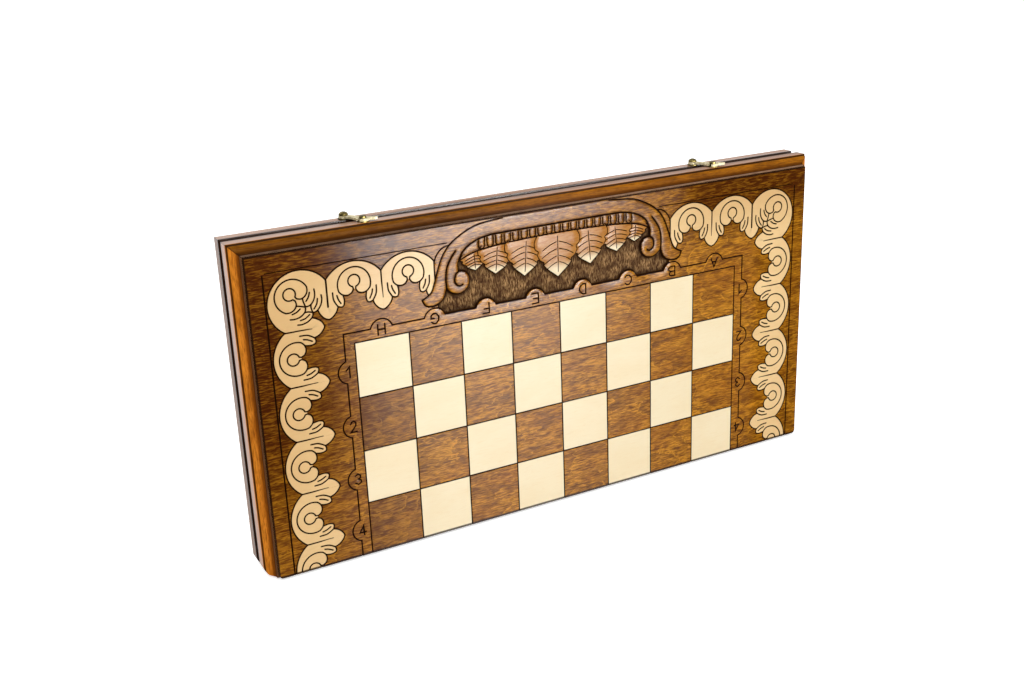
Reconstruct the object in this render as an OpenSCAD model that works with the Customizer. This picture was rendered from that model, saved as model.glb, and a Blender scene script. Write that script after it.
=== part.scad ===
// Folding chess case, closed and standing on its hinge side, with its chessmen inside.
// Frame: X to the right, Y away from the viewer, Z up. The joint between the two halves is
// the plane y = 0, the hinge barrels stand on z = 0. The front half carries ranks 1 to 4.

/* [Board] */
// Side of one chess square
square = 42; // [36:0.5:48]
// Panel margin beside the squares
side_margin = 72; // [64:0.5:84]
// Panel margin above the squares
top_margin = 73.5; // [66:0.5:84]
// Thickness of each playing panel
panel_t = 3.4; // [3:0.1:4.5]
// Width of the carved lines
line_w = 0.9; // [0.5:0.1:1.4]
// Depth of the carved lines
line_h = 0.7; // [0.3:0.1:1.2]
// Distance from the squares to the line that frames the ranks and files
frame_gap = 7.9; // [6:0.1:12]
// Radius of the bay beside each rank and file
bay_r = 8.7; // [5:0.1:9]
// Distance from the thin border line to the panel's side edges
border_gap = 10.9; // [7:0.1:16]
// Distance from the thin border line to the panel's top edge
border_top_gap = 12.3; // [7:0.1:16]
// Rounding of the panel's corners at the hinge side
panel_corner = 3; // [1:0.5:5]

/* [Cartouche] */
// Depth of the sunken ground
ground_h = 2.1; // [1.2:0.1:2.4]
// Depth of the leaves' surface below the face
leaf_h = 0.7; // [0.4:0.1:1.2]
// Radius of the volute at each end of the frame
volute_r = 8.7; // [6:0.1:9]

/* [Rails] */
// Depth of each half, from its face to the joint
half_d = 24.7; // [23:0.1:28]
// Thickness of a rail inside the panel edge
rail_w = 9; // [8:0.2:12]
// How far the rim stands out past the panel edge
flare = 8.2; // [7.6:0.1:11]
// Ledge of the rail beside the panel edge
ledge = 1; // [0.2:0.1:1.4]
// Straight start of the moulding behind the panel
quirk = 0.8; // [0.6:0.1:1.8]
// Radius of the hollow cove
cove_r = 3.6; // [3:0.1:4]
// Radius of the small round behind the cove
reed_r = 2.3; // [1.2:0.1:2.5]
// Rounding of the rim's front edge
bead_r = 0.9; // [0.6:0.1:1.2]
// Width of the rebate beside the joint, in each half
rebate_w = 3.35; // [2:0.05:4]
// Depth of that rebate below the rim
rebate_h = 3.3; // [2:0.1:4]
// Rounding of the side rails at the hinge side
end_r = 7.5; // [4:0.5:8]
// Gap between the closed halves
joint_gap = 0.3; // [0.2:0.05:0.6]

/* [Hinges] */
// Distance of each hinge from the middle
hinge_x = 150; // [100:1:180]
// Length of a hinge
hinge_len = 30; // [24:1:40]
// Reach of a leaf from the pin axis
leaf_w = 8; // [6.6:0.1:8.6]
// Thickness of a leaf
leaf_t = 0.9; // [0.7:0.05:1.1]
// Radius of the hinge barrel
barrel_r = 1.75; // [1.6:0.05:2.2]
// Radius of the hinge pin
pin_r = 0.9; // [0.7:0.05:1]
// Number of knuckles on a hinge
knuckles = 5; // [3, 5, 7]
// Distance between the two screws of a leaf
screw_pitch = 18; // [12:0.5:20]
// Length of a hinge screw
screw_l = 8; // [5:0.5:12]
// Radius of a hinge screw's shank
screw_r = 0.9; // [0.7:0.05:1.1]
// Radius of a hinge screw's head
screw_head_r = 1.7; // [1.5:0.05:1.9]

/* [Latches] */
// Distance of each latch from the middle
latch_x = 152; // [60:1:200]
// Sideways offset from a pivot to its catch
hook_dx = 8.5; // [4:0.5:12]
// Thickness of the hook
hook_t = 1.6; // [1.2:0.1:2.2]
// Radius of the hook's eye
eye_r = 3.6; // [3:0.1:4.4]
// Radius of the hook's head
head_r = 4.8; // [4.2:0.1:5.6]
// Reach of the thumb tab from the catch
tab_l = 11; // [8:0.5:15]
// Width of the thumb tab
tab_w = 4.2; // [3:0.1:5]
// Angle of the thumb tab to the arm
tab_a = 46; // [30:1:60]
// Radius of the pivot post
post_r = 1.5; // [1.2:0.05:1.8]
// Radius of the catch peg
peg_r = 1.5; // [1.2:0.05:1.8]
// Radius of the round foot plates
rosette_r = 4.2; // [3.8:0.1:5]
// Thickness of the round foot plates
rosette_t = 0.8; // [0.6:0.1:1.2]
// Radius of the domed pivot head
dome_r = 3.4; // [2.6:0.1:4]
// Radius of the catch head
catch_r = 2.7; // [2.4:0.1:3.2]
// Length of the screw under a foot plate
spike_l = 11; // [8:0.5:14]
// Radius of the screw under a foot plate
spike_r = 1.1; // [0.8:0.05:1.3]

/* [Chessmen] */
// Height of a king
king_h = 76; // [68:1:80]
// Base diameter of a king
king_base = 32; // [28:0.5:34]
// Height of a queen
queen_h = 68; // [60:1:72]
// Base diameter of a queen
queen_base = 30; // [27:0.5:33]
// Height of a bishop
bishop_h = 58; // [52:1:64]
// Base diameter of a bishop
bishop_base = 28; // [25:0.5:31]
// Height of a knight
knight_h = 50; // [46:1:54]
// Base diameter of a knight
knight_base = 28; // [25:0.5:31]
// Height of a rook
rook_h = 43; // [38:1:48]
// Base diameter of a rook
rook_base = 28; // [25:0.5:31]
// Height of a pawn
pawn_h = 40; // [36:1:44]
// Base diameter of a pawn
pawn_base = 25; // [22:0.5:27]
// Height of the rounded foot of each man
foot_h = 5; // [4:0.2:6]
// Free space around each stored man
man_gap = 0.5; // [0.3:0.1:0.9]

/* [Fits] */
// Radial clearance of a pin or post that turns
run_fit = 0.06; // [0.03:0.01:0.1]
// Radial clearance of a screw in its pilot hole
screw_fit = 0.05; // [0.03:0.01:0.1]
// Clearance between pieces that pass each other
pass_gap = 0.3; // [0.2:0.05:0.4]

/* [Hidden] */
$fn = 48;
eps = 0.01;

// Case
axis_z = barrel_r;
fold_gap = joint_gap / 2;
case_z = axis_z + fold_gap;
panel_hw = 4 * square + side_margin;
panel_h = 4 * square + top_margin;
panel_top = case_z + panel_h;
rim_top = panel_top + flare;
rim_d = half_d - joint_gap / 2;
tray_hw = panel_hw - rail_w;
tray_floor = half_d - panel_t;
cove_d = panel_t + quirk + cove_r;
reed_flat = 0.3;
groove_h = 0.5;
bay_sink = 2.4;
overrun = 1;
reed_o = ledge + cove_r + reed_r;
groove_d = cove_d + reed_r + reed_flat;
bead_d = groove_d + groove_h;
flat_start = bead_d + bead_r;
flat_end = rim_d - rebate_w;

// Cartouche, drawn in squares from the middle of the panel's lower edge, its right half
volute_c = [2, 4.712];
foot_edge = [[2.44, 4.38], [2.36, 4.425], [2.31, 4.475], [2.27, 4.55], [2.24, 4.65]];
garland = [[1.985, 5.09], [1.7, 5.2], [1.2, 5.265], [0.6, 5.29], [0, 5.3]];
band_line = [
    [1.1, 5.74], [1.6, 5.69], [1.925, 5.562], [2.15, 5.412], [2.3, 5.225], [2.406, 4.975],
    [2.494, 4.7], [2.538, 4.631], [2.719, 4.519], [2.675, 4.425], [2.55, 4.374], [2.438, 4.388]
];
arch_line = [
    [0, 5.477], [1.2, 5.477], [1.6, 5.425], [1.85, 5.3], [1.97, 5.14], [1.998, 4.92],
    [2.055, 4.865], [2.081, 4.775], [2.05, 4.685], [1.975, 4.65], [1.931, 4.672]
];
inner_line = [[2.038, 5.288], [2.162, 5.125], [2.23, 4.95], [2.248, 4.79], [2.238, 4.65]];
// Each leaf: its root, its tip and its width
leaves = [
    [[0, 5.3], [0, 4.47], 0.94], [[0.64, 5.29], [0.69, 4.6], 0.84],
    [[1.22, 5.26], [1.27, 4.74], 0.74], [[1.68, 5.2], [1.66, 4.87], 0.54]
];
// Share of a leaf's length, and of its half width there
leaf_edge = [
    [0, 0.86], [0.14, 1], [0.3, 0.98], [0.37, 0.84], [0.45, 0.88], [0.57, 0.76], [0.63, 0.6],
    [0.82, 0.4], [1, 0]
];
// Half the stretch of the border line that the band of the cartouche takes up
band_half = 2.3;

// Latch, measured from the top of the rim
hook_gap = 0.2;
latch_y = half_d - flat_end + rosette_r + hook_gap / 2;
hook_z = rosette_t + hook_gap;
hook_top = hook_z + hook_t;
reach = norm([hook_dx, 2 * latch_y]);
hook_a = atan2(-2 * latch_y, hook_dx);
slot_w = peg_r + hook_gap;
slot_sweep = 40;
dome_h = 2.6;
catch_h = 1.4;

// Hinge
knuckle_l = hinge_len / knuckles;
knuckle_gap = 0.2;
leaf_foot = (barrel_r + pin_r) / 2;
screw_z = (leaf_w + barrel_r + pass_gap) / 2;
screw_head_h = 0.8;

// Men: heights of the necks above the foot, and the widest radius of each head
foot_step = 1.4;
half_foot = foot_h / 2;
neck_share = 0.34;
collar_out = 2.6;
collar_h = 3.2;
king_head_l = 27;
queen_head_l = 22;
bishop_head_l = 22;
rook_head_l = 15;
king_neck = king_h - king_head_l;
queen_neck = queen_h - queen_head_l;
bishop_neck = bishop_h - bishop_head_l;
knight_neck = 9;
rook_neck = rook_h - rook_head_l;
foot_start = -60;
finial_start = -50;
finial_r = 2.6;
cross_t = 3;
king_cap_r = neck_r(king_base) + 3;
king_cap_z = king_h - 11;
queen_crown_r = neck_r(queen_base) + 3.2;
queen_crown_z = queen_h - 2 * finial_r - 1;
bishop_head_r = neck_r(bishop_base) + 3;
bishop_slit = 1.2;
mitre_z = bishop_neck + collar_h;
mitre_l = bishop_h - finial_r - mitre_z;
mitre_shape = 0.62;
ear_half_w = 2.8;
rook_tower_r = neck_r(rook_base) + 4;
rook_wall = 2.4;
rook_notch = [2.2, 3];
pawn_ball = 0.27 * pawn_base;

// Storage of the men in four columns that start at the side rail
column_gap = 3;
rook_column = king_h + column_gap;
pawn_column = rook_column + knight_h + column_gap;
pawn_pitch = pawn_h + column_gap;
royal_stack = [king_base, queen_base, bishop_base, bishop_base];
minor_stack = [knight_base, knight_base, rook_base, rook_base];
pawn_stack = [for (i = [0 : 3]) pawn_base];

function arc(c, r, a0, a1, n) = [for (i = [0 : n]) let (a = a0 + (a1 - a0) * i / n) c + r * [cos(a), sin(a)]];
function mirrored(points) = [for (i = [len(points) - 1 : -1 : 0]) [-points[i][0], points[i][1]]];
// The points of a line moved sideways by w
function beside(points, w) = [for (i = [0 : len(points) - 1])
    let (ahead = points[min(i + 1, len(points) - 1)] - points[max(i - 1, 0)])
        points[i] + w * [-ahead[1], ahead[0]] / norm(ahead)];
function backwards(points) = [for (i = [len(points) - 1 : -1 : 0]) points[i]];
function neck_r(base) = base * neck_share / 2;
function collar_r(base) = neck_r(base) + collar_out;
function stack(bases, i) = i == 0 ? bases[0] / 2
    : stack(bases, i - 1) + (bases[i - 1] + bases[i]) / 2 + man_gap;

// Section of a moulded rail: first value outward from the panel edge, second the depth behind the face
function moulding() = concat(
    [[-rail_w, panel_t], [ledge, panel_t]],
    arc([ledge + cove_r, cove_d - cove_r], cove_r, 180, 90, 8),
    arc([ledge + cove_r, cove_d + reed_r], reed_r, -90, 0, 5),
    [[reed_o, groove_d], [reed_o - groove_h, groove_d + groove_h / 2], [reed_o - groove_h, bead_d]],
    arc([flare - bead_r, bead_d + bead_r], bead_r, -90, 0, 6),
    [[flare, flat_end], [flare - rebate_h, flat_end], [flare - rebate_h, rim_d], [-rail_w, rim_d]]
);

// Puts a solid drawn from the face (y = 0) inwards onto the front or the back half
module on_half(back) {
    if (back) mirror([0, 1, 0]) translate([0, -half_d, 0]) children();
    else translate([0, -half_d, 0]) children();
}

module prism(outline) {
    translate([0, half_d, 0]) rotate([90, 0, 0]) linear_extrude(half_d) polygon(outline);
}

// Panels
// Sinks a flat drawing into the face, measured from the middle of the panel's lower edge
module sunk(depth) {
    translate([0, depth, case_z]) rotate([90, 0, 0]) linear_extrude(depth + eps) children();
}

module squares_2d() {
    side = 4 * square;
    for (i = [-4 : 4])
        translate([i * square - line_w / 2, -overrun]) square([line_w, side + overrun + line_w / 2]);
    for (i = [1 : 4])
        translate([-side, i * square - line_w / 2]) square([2 * side, line_w]);
}

module border_2d() {
    side = panel_hw - border_gap;
    top = panel_h - border_top_gap;
    difference() {
        translate([-side - line_w / 2, -overrun]) square([2 * side + line_w, top + overrun + line_w / 2]);
        translate([-side + line_w / 2, -2 * overrun])
            square([2 * side - line_w, top + 2 * overrun - line_w / 2]);
        translate([-band_half * square, 0]) square([2 * band_half * square, panel_h]);
    }
}

// The framing line's outline: a rectangle with a round bay beside every rank and file
module frame_2d(grow) {
    half_w = 4 * square + frame_gap;
    translate([-half_w - grow, -overrun]) square([2 * (half_w + grow), half_w + overrun + grow]);
    for (i = [-3.5 : 3.5])
        translate([i * square, half_w - bay_sink]) circle(bay_r + grow);
    for (i = [0 : 3], s = [-1, 1])
        translate([s * (half_w - bay_sink), (i + 0.5) * square]) circle(bay_r + grow);
}

// A line of the cartouche and its mirror image, as wide as w
module ribbon_2d(line, w) {
    points = square * line;
    outline = concat(beside(points, w / 2), backwards(beside(points, -w / 2)));
    polygon(outline);
    polygon(mirrored(outline));
}

module leaves_2d() {
    for (leaf = leaves) {
        axis = leaf[1] - leaf[0];
        out = leaf[2] / 2 * [-axis[1], axis[0]] / norm(axis);
        outline = concat(
            [for (e = leaf_edge) leaf[0] + e[0] * axis + e[1] * out],
            [for (i = [len(leaf_edge) - 2 : -1 : 0])
                let (e = leaf_edge[i]) leaf[0] + e[0] * axis - e[1] * out]
        );
        polygon(square * outline);
        if (leaf[0][0] > 0) polygon(square * mirrored(outline));
    }
}

module ground_2d() {
    foot = [foot_edge[0][0], 4];
    edge = concat([foot], foot_edge, [volute_c, [volute_c[0], garland[0][1]]], garland);
    left = mirrored([for (i = [0 : len(edge) - 2]) edge[i]]);
    difference() {
        polygon(square * concat(edge, left));
        frame_2d(line_w / 2);
        for (s = [-1, 1]) translate(square * [s * volute_c[0], volute_c[1]]) circle(volute_r);
    }
}

module panel() {
    difference() {
        translate([0, panel_t, case_z]) rotate([90, 0, 0]) linear_extrude(panel_t) polygon(concat(
            arc([-panel_hw + panel_corner, panel_corner], panel_corner, 180, 270, 4),
            arc([panel_hw - panel_corner, panel_corner], panel_corner, -90, 0, 4),
            [[panel_hw, panel_h], [-panel_hw, panel_h]]
        ));
        sunk(line_h) squares_2d();
        sunk(line_h) difference() {
            frame_2d(line_w / 2);
            frame_2d(-line_w / 2);
        }
        sunk(line_h) border_2d();
        sunk(line_h) {
            ribbon_2d(band_line, line_w);
            ribbon_2d(arch_line, line_w);
            ribbon_2d(inner_line, line_w);
        }
        sunk(leaf_h) ground_2d();
        sunk(ground_h) difference() {
            ground_2d();
            leaves_2d();
        }
    }
}

// Rails
module top_rail(back) {
    outline = [
        [-tray_hw, panel_top - rail_w], [tray_hw, panel_top - rail_w],
        [panel_hw + flare, rim_top], [-panel_hw - flare, rim_top]
    ];
    on_half(back) difference() {
        intersection() {
            translate([0, 0, panel_top]) rotate([90, 0, 90])
                linear_extrude(2 * (panel_hw + flare), center = true)
                    polygon([for (p = moulding()) [p[1], p[0]]]);
            prism(outline);
        }
        for (s = [-1, 1])
            translate([s * latch_x + (back ? -1 : 1) * hook_dx / 2, half_d - latch_y, rim_top - spike_l])
                cylinder(h = spike_l + 1, r = spike_r + screw_fit);
    }
}

module side_rail(back, side) {
    outline = concat(
        [[tray_hw, case_z]],
        arc([panel_hw + flare - end_r, case_z + end_r], end_r, -90, 0, 8),
        [[panel_hw + flare, rim_top], [tray_hw, panel_top - rail_w]]
    );
    on_half(back) mirror([side < 0 ? 1 : 0, 0, 0]) intersection() {
        translate([panel_hw, 0, case_z]) linear_extrude(panel_h + flare) polygon(moulding());
        prism(outline);
    }
}

module hinge_rail(back) {
    on_half(back) difference() {
        translate([-tray_hw, panel_t, case_z]) cube([2 * tray_hw, rim_d - panel_t, rail_w]);
        for (s = [-1, 1]) translate([s * hinge_x, half_d, axis_z]) {
            rotate([0, 90, 0]) cylinder(h = hinge_len + 2 * pass_gap, r = barrel_r + pass_gap, center = true);
            translate([-hinge_len / 2, -joint_gap / 2 - leaf_t, 0]) cube([hinge_len, leaf_t + 1, leaf_w]);
            for (t = [-1, 1]) translate([t * screw_pitch / 2, 0, screw_z])
                rotate([90, 0, 0]) cylinder(h = joint_gap / 2 + screw_l, r = screw_r + screw_fit);
        }
    }
}

// Hinges: the leaf of the front half is drawn, the back leaf is its mirror image with the other knuckles
module hinge_leaf(back, side) {
    first = back ? 1 : 0;
    translate([side * hinge_x, 0, axis_z]) mirror([0, back ? 1 : 0, 0]) difference() {
        union() {
            difference() {
                translate([-hinge_len / 2, -joint_gap / 2 - leaf_t, leaf_foot])
                    cube([hinge_len, leaf_t, leaf_w - leaf_foot]);
                for (k = [1 - first : 2 : knuckles - 1])
                    translate([-hinge_len / 2 + (k + 0.5) * knuckle_l, 0, 0]) rotate([0, 90, 0])
                        cylinder(h = knuckle_l + knuckle_gap, r = barrel_r + pass_gap, center = true);
            }
            for (k = [first : 2 : knuckles - 1])
                translate([-hinge_len / 2 + (k + 0.5) * knuckle_l, 0, 0]) rotate([0, 90, 0])
                    cylinder(h = knuckle_l - knuckle_gap, r = barrel_r, center = true);
        }
        rotate([0, 90, 0]) cylinder(h = hinge_len + 2, r = pin_r + run_fit, center = true);
        for (t = [-1, 1]) translate([t * screw_pitch / 2, -joint_gap / 2, screw_z]) rotate([90, 0, 0]) {
            translate([0, 0, -1]) cylinder(h = leaf_t + 2, r = screw_r + screw_fit);
            translate([0, 0, -eps])
                cylinder(h = screw_head_h + eps, r1 = screw_head_r + screw_fit, r2 = screw_r + screw_fit);
        }
    }
}

module hinge_pin(side) {
    translate([side * hinge_x, 0, axis_z]) rotate([0, 90, 0])
        cylinder(h = hinge_len - knuckle_gap, r = pin_r, center = true);
}

module hinge_screw() {
    union() {
        cylinder(h = screw_head_h, r1 = screw_head_r, r2 = screw_r);
        cylinder(h = screw_l - screw_fit, r = screw_r);
    }
}

module hinge_screws(back) {
    mirror([0, back ? 1 : 0, 0])
        for (s = [-1, 1], t = [-1, 1])
            translate([s * hinge_x + t * screw_pitch / 2, -joint_gap / 2, axis_z + screw_z])
                rotate([90, 0, 0]) hinge_screw();
}

// Latches
module at_pivot(side) {
    translate([side * latch_x - hook_dx / 2, latch_y, rim_top]) children();
}

module at_catch(side) {
    translate([side * latch_x + hook_dx / 2, -latch_y, rim_top]) children();
}

// Outline of the hook, its pivot at the origin and its catch on +X
module hook_2d() {
    difference() {
        union() {
            circle(eye_r);
            polygon([[0, eye_r - 0.6], [0, -eye_r + 0.9], [reach * 0.45, -1.6], [reach - 1, -head_r + 0.6],
                [reach, head_r - 0.4], [reach * 0.5, 3]]);
            translate([reach, 0]) {
                circle(head_r);
                rotate(tab_a) {
                    polygon([[0, tab_w / 2 + 1], [0, -tab_w / 2], [tab_l - tab_w / 2, -tab_w / 2 + 0.4],
                        [tab_l - tab_w / 2, tab_w / 2 - 0.4]]);
                    translate([tab_l - tab_w / 2, 0]) circle(tab_w / 2 - 0.4);
                }
            }
        }
        circle(post_r + run_fit);
        intersection() {
            difference() {
                circle(reach + slot_w);
                circle(reach - slot_w);
            }
            polygon([[0, 0], 2 * reach * [1, 0], 2 * reach * [cos(slot_sweep), -sin(slot_sweep)]]);
        }
        translate([reach, 0]) circle(slot_w);
    }
}

module latch_hook(side) {
    at_pivot(side) rotate(hook_a) translate([0, 0, hook_z]) linear_extrude(hook_t) hook_2d();
}

module spike() {
    translate([0, 0, -spike_l + screw_fit]) cylinder(h = spike_l, r = spike_r);
    cylinder(h = rosette_t, r = rosette_r);
}

module latch_pivot(side) {
    at_pivot(side) union() {
        spike();
        cylinder(h = hook_top + hook_gap + 0.2, r = post_r);
        translate([0, 0, hook_top + hook_gap]) rotate_extrude()
            polygon(concat([[0, 0], [dome_r - 0.3, 0]],
                [for (i = [0 : 8]) [dome_r * cos(i * 90 / 8), 0.4 + (dome_h - 0.4) * sin(i * 90 / 8)]]));
    }
}

module latch_catch(side) {
    at_catch(side) union() {
        spike();
        cylinder(h = hook_top + hook_gap + 0.2, r = peg_r);
        translate([0, 0, hook_top + hook_gap]) rotate_extrude() polygon([[0, 0], [catch_r - 0.3, 0],
            [catch_r, 0.3], [catch_r, catch_h - 0.5], [catch_r - 0.5, catch_h], [0, catch_h]]);
    }
}

// Chessmen, each standing on z = 0
// Foot, hollow stem and collar that every man shares, up to the height of the neck
function pedestal(base, neck) = concat(
    [[0, 0], [base / 2 - 0.6, 0]],
    arc([base / 2 - foot_h / 2, foot_h / 2], foot_h / 2, foot_start, 90, 8),
    [[base / 2 - foot_h / 2, foot_h + foot_step]],
    [for (i = [0 : 8]) let (t = i / 8)
        [neck_r(base) + (base / 2 - foot_h / 2 - 1 - neck_r(base)) * pow(1 - t, 2.4),
         foot_h + foot_step + (neck - foot_h - foot_step) * t]],
    [[collar_r(base) - 0.8, neck], [collar_r(base), neck + 0.8], [collar_r(base) - 0.8, neck + 1.6],
     [neck_r(base) + 0.8, neck + 1.8], [neck_r(base) + 1.2, neck + 2.6], [neck_r(base) + 0.4, neck + 3.2]]
);

// Outline of a head that flares from radius r0 at z0 to r1 at z1
function flared(r0, r1, z0, z1) =
    [for (i = [1 : 5]) let (t = i / 5) [r0 + (r1 - r0) * t * t, z0 + (z1 - z0) * t]];

module pawn() {
    neck = pawn_h - 2 * pawn_ball - collar_h + 1.2;
    ball_z = pawn_h - pawn_ball;
    start = asin((neck + collar_h - ball_z) / pawn_ball);
    rotate_extrude() polygon(concat(pedestal(pawn_base, neck), arc([0, ball_z], pawn_ball, start, 90, 10)));
}

module rook() {
    top = rook_neck + collar_h;
    well_r = rook_tower_r - rook_wall;
    difference() {
        rotate_extrude() polygon(concat(pedestal(rook_base, rook_neck), [
            [rook_tower_r - 1.8, top + 1.8], [rook_tower_r - 1.2, top + 4], [rook_tower_r, top + 5.4],
            [rook_tower_r, rook_h], [well_r, rook_h], [well_r, rook_h - 4], [0, rook_h - 4.6]]));
        for (a = [0, 60, 120])
            rotate(a) translate([-rook_base, -rook_notch[0] / 2, rook_h - rook_notch[1]])
                cube([2 * rook_base, rook_notch[0], 2 * rook_notch[1]]);
    }
}

module bishop() {
    difference() {
        union() {
            rotate_extrude() polygon(concat(pedestal(bishop_base, bishop_neck),
                [for (i = [1 : 9]) let (t = i / 10)
                    [bishop_head_r * pow(sin(180 * pow(t, mitre_shape)), 0.8), mitre_z + mitre_l * t]],
                [[0, mitre_z + mitre_l]]));
            translate([0, 0, bishop_h - finial_r]) sphere(finial_r);
        }
        translate([1.2, 0, mitre_z + mitre_l / 2]) rotate([0, -58, 0])
            translate([0, -bishop_base / 2, -bishop_slit / 2]) cube([bishop_base, bishop_base, bishop_slit]);
    }
}

module queen() {
    difference() {
        rotate_extrude() polygon(concat(pedestal(queen_base, queen_neck),
            flared(neck_r(queen_base), queen_crown_r, queen_neck + collar_h, queen_crown_z),
            [[queen_crown_r - 1.8, queen_crown_z], [finial_r + 0.6, queen_crown_z - 1],
             [1.4, queen_crown_z + 1.4]],
            arc([0, queen_h - finial_r], finial_r, finial_start, 90, 8)));
        for (i = [0 : 7]) rotate(i * 45) translate([queen_crown_r, 0, queen_crown_z + 0.4]) sphere(1.7);
    }
}

module king() {
    brim_z = king_cap_z - 3;
    union() {
        rotate_extrude() polygon(concat(pedestal(king_base, king_neck),
            flared(neck_r(king_base), king_cap_r, king_neck + collar_h, brim_z),
            [[king_cap_r - 0.8, brim_z + 1], [king_cap_r - 2.4, brim_z + 2.2],
             [2.4, king_cap_z + 0.6], [0, king_cap_z + 0.8]]));
        rotate([90, 0, 0]) linear_extrude(cross_t, center = true) {
            polygon([[-1.6, king_cap_z - 1], [1.6, king_cap_z - 1], [1.1, king_h - 5.4], [2.3, king_h],
                [-2.3, king_h], [-1.1, king_h - 5.4]]);
            polygon([[-4, king_h - 7.6], [-1, king_h - 6.4], [1, king_h - 6.4], [4, king_h - 7.6],
                [4, king_h - 2.6], [1, king_h - 3.8], [-1, king_h - 3.8], [-4, king_h - 2.6]]);
        }
    }
}

// Side view of the knight's neck and head: first value forward, second up from the foot
function horse(h) = [
    [-7, 0], [7.5, 0], [7, 4], [3.5, 9], [3, 14], [4.5, 17], [8.5, 15.2], [11.4, 15.6], [12.6, 18],
    [11.8, 20.4], [8.6, 24], [6.2, 28.6], [4.6, 31], [3.4, h], [1.4, h - 3.6], [-0.6, h - 1],
    [-2.6, h - 4.6], [-6.4, h - 8], [-9.2, h - 14], [-10, 18], [-9.4, 10], [-8.6, 4]
];

module knight() {
    head_h = knight_h - knight_neck;
    foot_r = knight_base / 2;
    cheek = [[7.6, 0], [6.4, 6], [5.6, 14], [5.4, 20], [4.2, 27], [ear_half_w, head_h + 1]];
    union() {
        rotate_extrude() polygon([[0, 0], [foot_r - 0.6, 0], [foot_r, 1.4], [foot_r, foot_h - 1],
            [foot_r - 1.4, foot_h], [foot_r - 2.6, foot_h + foot_step],
            [foot_r - 3.6, knight_neck - 0.6], [foot_r - 4.4, knight_neck], [0, knight_neck]]);
        intersection() {
            translate([0, 0, knight_neck - eps]) rotate([90, 0, 0]) linear_extrude(knight_base, center = true)
                polygon(horse(head_h));
            translate([0, 0, knight_neck - eps]) rotate([90, 0, 90])
                linear_extrude(2 * knight_base, center = true) polygon(concat(cheek, mirrored(cheek)));
        }
    }
}

// A man laid in the front tray: its foot and the widest part of its head touch the tray floor.
// along is the distance of its foot from the side rail, up the height of its axis above the hinge rail.
module laid(side, along, up, base, foot_z, head, head_z) {
    tilt = atan2(base / 2 - head, head_z - foot_z);
    lift = foot_z * sin(tilt) + base / 2 * cos(tilt);
    toe = base / 2 * sin(tilt);
    mirror([side > 0 ? 1 : 0, 0, 0])
        translate([-tray_hw + man_gap + toe + along, -tray_floor + lift + man_gap / 2,
            case_z + rail_w + man_gap + up])
            rotate([0, 0, -tilt]) rotate([0, 90, 0]) children();
}

module stored_king(side) {
    laid(side, 0, stack(royal_stack, 0), king_base, half_foot, king_cap_r, king_cap_z - 3) king();
}
module stored_queen(side) {
    laid(side, 0, stack(royal_stack, 1), queen_base, half_foot, queen_crown_r, queen_crown_z) queen();
}
module stored_bishops(side) {
    mitre_wide = mitre_z + mitre_l * pow(0.5, 1 / mitre_shape);
    for (i = [2, 3])
        laid(side, 0, stack(royal_stack, i), bishop_base, half_foot, bishop_head_r, mitre_wide) bishop();
}
module stored_knights(side) {
    for (i = [0, 1])
        laid(side, rook_column, stack(minor_stack, i), knight_base, foot_h - 1, ear_half_w, knight_h)
            knight();
}
module stored_rooks(side) {
    for (i = [2, 3])
        laid(side, rook_column, stack(minor_stack, i), rook_base, half_foot, rook_tower_r, rook_h) rook();
}
module stored_pawns(side) {
    for (c = [0, 1], i = [0 : 3])
        laid(side, pawn_column + c * pawn_pitch, stack(pawn_stack, i), pawn_base, half_foot,
            pawn_ball, pawn_h - pawn_ball) pawn();
}

color("#8a5423") on_half(false) panel();  // front_panel
color("#a9641f") top_rail(false);  // front_top_rail
color("#a9641f") side_rail(false, -1);  // front_left_rail
color("#a9641f") side_rail(false, 1);  // front_right_rail
color("#8f5320") hinge_rail(false);  // front_hinge_rail
color("#8a5423") on_half(true) panel();  // back_panel
color("#a9641f") top_rail(true);  // back_top_rail
color("#a9641f") side_rail(true, -1);  // back_left_rail
color("#a9641f") side_rail(true, 1);  // back_right_rail
color("#8f5320") hinge_rail(true);  // back_hinge_rail
color("#c2a35a") hinge_leaf(false, -1);  // left_hinge_front_leaf
color("#c2a35a") hinge_leaf(true, -1);  // left_hinge_back_leaf
color("#9a8a60") hinge_pin(-1);  // left_hinge_pin
color("#c2a35a") hinge_leaf(false, 1);  // right_hinge_front_leaf
color("#c2a35a") hinge_leaf(true, 1);  // right_hinge_back_leaf
color("#9a8a60") hinge_pin(1);  // right_hinge_pin
color("#9a8a60") hinge_screws(false);  // front_hinge_screws
color("#9a8a60") hinge_screws(true);  // back_hinge_screws
color("#d8cba0") latch_hook(-1);  // left_latch_hook
color("#d8cba0") latch_hook(1);  // right_latch_hook
color("#a8955a") latch_pivot(-1);  // left_latch_pivot
color("#a8955a") latch_pivot(1);  // right_latch_pivot
color("#a8955a") latch_catch(-1);  // left_latch_catch
color("#a8955a") latch_catch(1);  // right_latch_catch
color("#ead3a4") stored_king(-1);  // light_king
color("#ead3a4") stored_queen(-1);  // light_queen
color("#ead3a4") stored_bishops(-1);  // light_bishops
color("#ead3a4") stored_knights(-1);  // light_knights
color("#ead3a4") stored_rooks(-1);  // light_rooks
color("#ead3a4") stored_pawns(-1);  // light_pawns
color("#5a3216") stored_king(1);  // dark_king
color("#5a3216") stored_queen(1);  // dark_queen
color("#5a3216") stored_bishops(1);  // dark_bishops
color("#5a3216") stored_knights(1);  // dark_knights
color("#5a3216") stored_rooks(1);  // dark_rooks
color("#5a3216") stored_pawns(1);  // dark_pawns
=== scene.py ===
import math

import bpy
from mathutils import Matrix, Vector
from mathutils.geometry import delaunay_2d_cdt, intersect_point_line
from mathutils.kdtree import KDTree


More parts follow.
